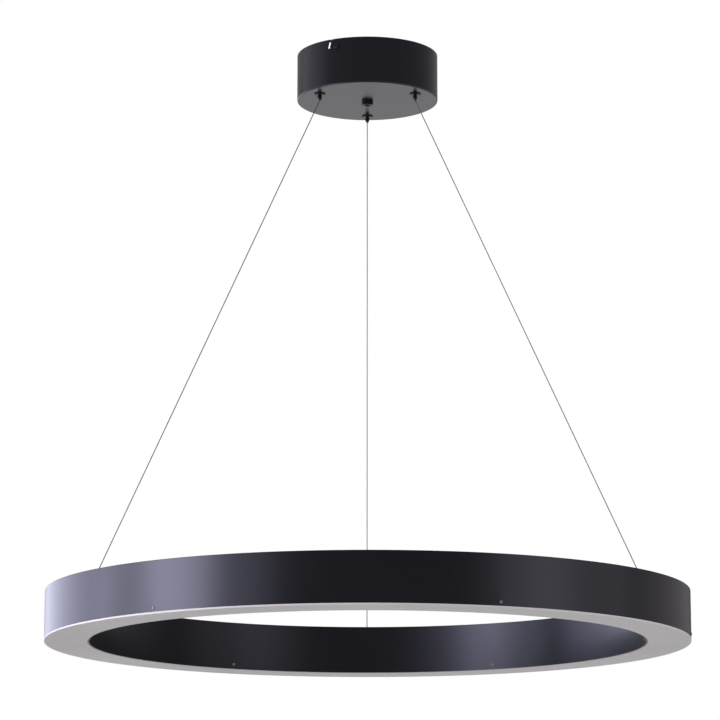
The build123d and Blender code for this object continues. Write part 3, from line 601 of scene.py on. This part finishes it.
# The driver's lid: a box with rounded corners and rim, hollow below, where it laps over the case
driverLid = {"corner": 0.003, "cornerSegments": 6, "rim": 0.0009, "rimSegments": 3, "wall": 0.0008}
low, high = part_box("driver_lid")
size, middle = high - low, (low + high) / 2
shape = bmesh.new()
bmesh.ops.create_cube(shape, size=1, matrix=Matrix.Translation(middle) @ Matrix.Diagonal((*size, 1)))
corners = [edge for edge in shape.edges if abs(edge.verts[0].co.z - edge.verts[1].co.z) > size.z / 2]
bmesh.ops.bevel(shape, geom=corners, offset=driverLid["corner"], segments=driverLid["cornerSegments"],
                profile=0.5, affect="EDGES", material=-1)
topEdges = [edge for edge in shape.edges if all(vertex.co.z > middle.z for vertex in edge.verts)]
bmesh.ops.bevel(shape, geom=topEdges, offset=driverLid["rim"], segments=driverLid["rimSegments"],
                profile=0.5, affect="EDGES", material=-1)
under = [face for face in shape.faces if all(vertex.co.z < middle.z for vertex in face.verts)]
bmesh.ops.inset_region(shape, faces=under, thickness=driverLid["wall"], depth=-size.z / 2,
                       use_even_offset=True)
lid = settle("driverLid", shape, [Matrix()], "driverPlastic")
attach(lid, "canopy")
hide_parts("driver_lid")
print("gland and lid made")


# Wires

def smoothLine(route, pointsPerRun):        # the smooth line that has this route as its control points
    curve = bpy.data.curves.new("route", "CURVE")
    curve.dimensions = "3D"
    curve.resolution_u = pointsPerRun
    spline = curve.splines.new("NURBS")
    spline.points.add(len(route) - 1)
    for spot, place in zip(spline.points, route):
        spot.co = (*place, 1)
    spline.order_u = 3
    spline.use_endpoint_u = True
    holder = bpy.data.objects.new("route", curve)
    mesh = bpy.data.meshes.new_from_object(holder)
    line = [vertex.co.copy() for vertex in mesh.vertices]
    bpy.data.meshes.remove(mesh)
    bpy.data.curves.remove(curve)
    return line


def lengthsAlong(line):        # how far along the line each of its points is
    lengths = [0.0]
    for here, after in zip(line, line[1:]):
        lengths.append(lengths[-1] + (after - here).length)
    return lengths


def lineLength(line):
    return lengthsAlong(line)[-1]


def tubeAlong(name, line, radius, roundness):        # a closed tube with its UV map in metres along
    curve = bpy.data.curves.new(name, "CURVE")
    curve.dimensions = "3D"
    curve.bevel_depth = radius
    curve.bevel_resolution = roundness
    curve.use_fill_caps = True
    spline = curve.splines.new("POLY")
    spline.points.add(len(line) - 1)
    for spot, place in zip(spline.points, line):
        spot.co = (*place, 1)
    holder = bpy.data.objects.new(name, curve)
    mesh = bpy.data.meshes.new_from_object(holder)
    bpy.data.curves.remove(curve)
    mesh.name = name
    shape = bmesh.new()
    shape.from_mesh(mesh)
    bmesh.ops.remove_doubles(shape, verts=shape.verts, dist=radius / 100)
    bmesh.ops.recalc_face_normals(shape, faces=shape.faces)
    uvLayer = shape.loops.layers.uv.active
    lengths = lengthsAlong(line)
    for face in shape.faces:
        face.smooth = True
        for loop in face.loops:        # the curve's own map counts points, from 0 to 1
            along = loop[uvLayer].uv
            along.x = lengths[round(along.x * (len(line) - 1))]
    shape.to_mesh(mesh)
    shape.free()
    piece = bpy.data.objects.new(name, mesh)
    bpy.context.scene.collection.objects.link(piece)
    return piece


# Each span goes from its gripper's cap to the ferrule under the ring's top, with a bend at either end
spanWire = {"bendLead": 0.0075, "pointsPerRun": 10, "roundness": 3, "straightFrom": -0.0725,
            "straightTo": -0.6915, "blendMargin": 0.0005}
for wireName, angle in wireAngles.items():
    anchorTop = around(angle, anchorRadius, heights["anchorTop"])
    plungerTip = around(angle, gripperRadius, heights["plungerTip"])
    lead = (plungerTip - anchorTop).normalized() * spanWire["bendLead"]
    route = [around(angle, gripperRadius, heights["capTop"]), plungerTip, plungerTip - lead,
             anchorTop + lead, anchorTop, around(angle, anchorRadius, heights["ferruleBottom"])]
    line = smoothLine(route, spanWire["pointsPerRun"])
    # The long straight run keeps no points, so that it stays straight at every height of the ring
    line = [p for p in line if not spanWire["straightTo"] < p.z < spanWire["straightFrom"]]
    wire = tubeAlong("wireSpan_" + wireName, line, wireRadius, spanWire["roundness"])
    dress(wire, "strandedWire")
    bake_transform(wire)
    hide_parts("wire_" + wireName)
print("wire spans made:", round(lineLength(line), 4))

# The spare wire of each gripper: up out of its cap, over, and wound round it on the canopy's floor
spareWire = {
    "pointsPerRun": 4, "roundness": 2, "middle": 0.0134, "spacing": 0.0014, "rise": 0.00125,
    "tailRise": 0.008, "tailLean": 0.0003, "archShare": 0.5, "archRise": 0.001, "shoulderShare": 0.97,
    "fall": ((0.10, 0.008), (0.16, 0.016)),        # radians round from the tail, metres down from its top
    "coilStart": 0.42,        # radians round from the tail
    "turnPoints": 14, "wobble": 0.00018, "wobbles": 3,
    "turnPlaces": ((0, 2), (0.5, 1), (-0.5, 1), (-1, 0), (1, 0), (1, 0)),        # spacings outwards, layer
}


def onCoil(centre, turn, radius, height):
    return Vector((centre.x + radius * cos(turn), centre.y + radius * sin(turn), height))


floorLayer = heights["canopyInside"] + wireRadius
tailTop = heights["capTop"] + spareWire["tailRise"]
middle, turnPlaces = spareWire["middle"], spareWire["turnPlaces"]
for wireIndex, (wireName, angle) in enumerate(wireAngles.items()):
    centre = around(angle, gripperRadius, 0)
    firstTurn = radians(angle)
    route = [onCoil(centre, firstTurn, 0, heights["capTop"]),
             onCoil(centre, firstTurn, 0, heights["capTop"] + spareWire["tailRise"] / 2),
             onCoil(centre, firstTurn, spareWire["tailLean"], tailTop),
             onCoil(centre, firstTurn, middle * spareWire["archShare"], tailTop + spareWire["archRise"]),
             onCoil(centre, firstTurn, middle * spareWire["shoulderShare"], tailTop)]
    route += [onCoil(centre, firstTurn + turn, middle, tailTop - drop) for turn, drop in spareWire["fall"]]
    lastPlace = len(turnPlaces) - 1
    for step in range(lastPlace * spareWire["turnPoints"] + 1):
        turnNumber, share = divmod(step / spareWire["turnPoints"], 1)
        here, after = turnPlaces[int(turnNumber)], turnPlaces[min(int(turnNumber) + 1, lastPlace)]
        move = max(0.0, share - 0.5) * 2        # the second half of a turn carries on to the next place
        side, layer = (start + (stop - start) * move for start, stop in zip(here, after))
        turn = firstTurn + spareWire["coilStart"] + 2 * pi * step / spareWire["turnPoints"]
        radius = middle + side * spareWire["spacing"]
        radius += spareWire["wobble"] * sin(spareWire["wobbles"] * turn + turnNumber + wireIndex)
        route.append(onCoil(centre, turn, radius, floorLayer + layer * spareWire["rise"]))
    line = smoothLine(route, spareWire["pointsPerRun"])
    spare = tubeAlong("spareWire_" + wireName, line, wireRadius, spareWire["roundness"])
    dress(spare, "strandedWire")
    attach(spare, "canopy")
    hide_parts("wire_tail_" + wireName, "spare_coil_" + wireName)
print("spare wires made:", round(lineLength(line), 4))


# Studio

studioFloor = {"height": -3.0, "radius": 14.0, "sides": 64, "colour": (0.86, 0.86, 0.86), "roughness": 0.7,
               "specular": 0.2, "fade": (5.5, 9.0)}        # the fade to white, in metres from the origin


def floorFinish(values):        # pale near the lamp, white far off, and clear when it is seen from below
    material, tree, shader = startMaterial("studioFloor")
    shader.inputs["Base Color"].default_value = (*values["colour"], 1)
    shader.inputs["Roughness"].default_value = values["roughness"]
    shader.inputs["Specular IOR Level"].default_value = values["specular"]
    distance = tree.nodes.new("ShaderNodeVectorMath")
    distance.operation = "LENGTH"
    tree.links.new(tree.nodes.new("ShaderNodeTexCoord").outputs["Object"], distance.inputs[0])
    fade = mapRange(tree, distance.outputs["Value"], values["fade"], (0, 1), "SMOOTHSTEP")
    white = tree.nodes.new("ShaderNodeEmission")
    fromAbove = tree.nodes.new("ShaderNodeMixShader")
    tree.links.new(fade, fromAbove.inputs["Fac"])
    tree.links.new(shader.outputs["BSDF"], fromAbove.inputs[1])
    tree.links.new(white.outputs["Emission"], fromAbove.inputs[2])
    clear = tree.nodes.new("ShaderNodeBsdfTransparent")
    fromBelow = tree.nodes.new("ShaderNodeMixShader")
    tree.links.new(tree.nodes.new("ShaderNodeNewGeometry").outputs["Backfacing"], fromBelow.inputs["Fac"])
    tree.links.new(fromAbove.outputs["Shader"], fromBelow.inputs[1])
    tree.links.new(clear.outputs["BSDF"], fromBelow.inputs[2])
    tree.links.new(fromBelow.outputs["Shader"], tree.nodes["Material Output"].inputs["Surface"])
    return material


floorShape = bmesh.new()
bmesh.ops.create_circle(floorShape, cap_ends=True, segments=studioFloor["sides"],
                        radius=studioFloor["radius"],
                        matrix=Matrix.Translation((0, 0, studioFloor["height"])))
floorMesh = bpy.data.meshes.new("floor")
floorShape.to_mesh(floorMesh)
floorShape.free()
floor = bpy.data.objects.new("floor", floorMesh)
bpy.context.scene.collection.objects.link(floor)
floor.data.materials.append(floorFinish(studioFloor))

# The world's strengths, and the heights of view they change over: level is 0, straight up 1, straight down -1
studioLight = {"plain": 0.62, "glossLow": 0.11, "glossHigh": 0.40,
               "horizon": (-0.22, -0.02), "rise": (0.14, 0.30)}


def largest(tree, first, second):
    node = tree.nodes.new("ShaderNodeMath")
    node.operation = "MAXIMUM"
    tree.links.new(first, node.inputs[0])
    tree.links.new(second, node.inputs[1])
    return node.outputs["Value"]


def studioWorld(values):
    # Plain light from all round. The camera sees white, and a gloss or a glass sees white below,
    # a dim horizon and a lighter sky
    world = bpy.data.worlds.new("studio")
    bpy.context.scene.world = world
    world.use_nodes = True
    tree = world.node_tree
    background = tree.nodes["Background"]
    background.inputs["Color"].default_value = (1, 1, 1, 1)
    rays = tree.nodes.new("ShaderNodeLightPath")
    direction = tree.nodes.new("ShaderNodeSeparateXYZ")
    tree.links.new(tree.nodes.new("ShaderNodeTexCoord").outputs["Generated"], direction.inputs["Vector"])
    up = direction.outputs["Z"]
    dimmed = mapRange(tree, up, values["horizon"], (1, values["glossLow"]), "SMOOTHSTEP")
    raised = mapRange(tree, up, values["rise"], (0, values["glossHigh"]), "SMOOTHSTEP")
    mirrored = largest(tree, rays.outputs["Is Glossy Ray"], rays.outputs["Is Transmission Ray"])
    level = tree.nodes.new("ShaderNodeMapRange")
    level.inputs["To Min"].default_value = values["plain"]
    tree.links.new(mirrored, level.inputs["Value"])
    tree.links.new(largest(tree, dimmed, raised), level.inputs["To Max"])
    seen = tree.nodes.new("ShaderNodeMapRange")
    seen.inputs["To Max"].default_value = 1        # what the camera sees, white
    tree.links.new(rays.outputs["Is Camera Ray"], seen.inputs["Value"])
    tree.links.new(level.outputs["Result"], seen.inputs["To Min"])
    tree.links.new(seen.outputs["Result"], background.inputs["Strength"])


studioWorld(studioLight)

# Each box stands at this angle from the front, to the right where it is above zero, and faces the lamp's axis
softBoxes = {
    "leftBox": {"angle": -58, "distance": 1.15, "bottom": -0.80, "top": -0.38, "width": 0.48, "power": 3.7,
                "colour": (0.90, 0.90, 1.0)},
    "leftWing": {"angle": -73, "distance": 1.15, "bottom": -0.80, "top": -0.38, "width": 0.80, "power": 3.2,
                 "colour": (0.86, 0.87, 1.0)},
    "frontLeftBox": {"angle": -40, "distance": 1.15, "bottom": -0.80, "top": -0.38, "width": 0.50,
                     "power": 0.9, "colour": (0.88, 0.88, 1.0)},
    "rearLeftBox": {"angle": -127, "distance": 3.3, "bottom": -0.90, "top": 0.1, "width": 3.9, "power": 38,
                    "colour": (0.78, 0.79, 1.0)},
    "upperLeftBox": {"angle": -100, "distance": 3.3, "bottom": 0.50, "top": 1.50, "width": 3.6, "power": 6.0,
                     "colour": (0.92, 0.88, 1.0)},
    "rightBox": {"angle": 50, "distance": 1.25, "bottom": -0.85, "top": -0.35, "width": 0.60, "power": 0.80,
                 "colour": (1.0, 0.96, 0.95)},
    "rightWing": {"angle": 68, "distance": 1.25, "bottom": -0.85, "top": -0.35, "width": 1.00, "power": 0.85,
                  "colour": (1.0, 0.95, 0.95)},
    "rearRightBox": {"angle": 130, "distance": 3.3, "bottom": -0.90, "top": 0.1, "width": 3.0, "power": 2.3,
                     "colour": (1.0, 0.90, 0.98)},
}
for boxName, values in softBoxes.items():
    lamp = bpy.data.lights.new(boxName, "AREA")
    lamp.shape = "RECTANGLE"
    lamp.size = values["width"]
    lamp.size_y = values["top"] - values["bottom"]
    lamp.energy = values["power"]
    lamp.color = values["colour"]
    holder = bpy.data.objects.new(boxName, lamp)
    way = radians(values["angle"])
    middle = (values["top"] + values["bottom"]) / 2
    holder.location = (values["distance"] * sin(way), -values["distance"] * cos(way), middle)
    holder.rotation_euler = Vector((sin(way), -cos(way), 0)).to_track_quat("Z", "Y").to_euler()
    holder.visible_camera = False
    bpy.context.scene.collection.objects.link(holder)

viewpoint = {"place": (-0.0095, -4.041, -1.210), "pitch": 11.36, "lens": 163.2, "sensor": 36}
camera = bpy.data.cameras.new("camera")
camera.lens = viewpoint["lens"]
camera.sensor_width = viewpoint["sensor"]
cameraHolder = bpy.data.objects.new("camera", camera)
cameraHolder.location = viewpoint["place"]
cameraHolder.rotation_euler = (radians(90 + viewpoint["pitch"]), 0, 0)
bpy.context.scene.collection.objects.link(cameraHolder)
bpy.context.scene.camera = cameraHolder
bpy.context.scene.view_settings.view_transform = "Standard"
print("studio set")
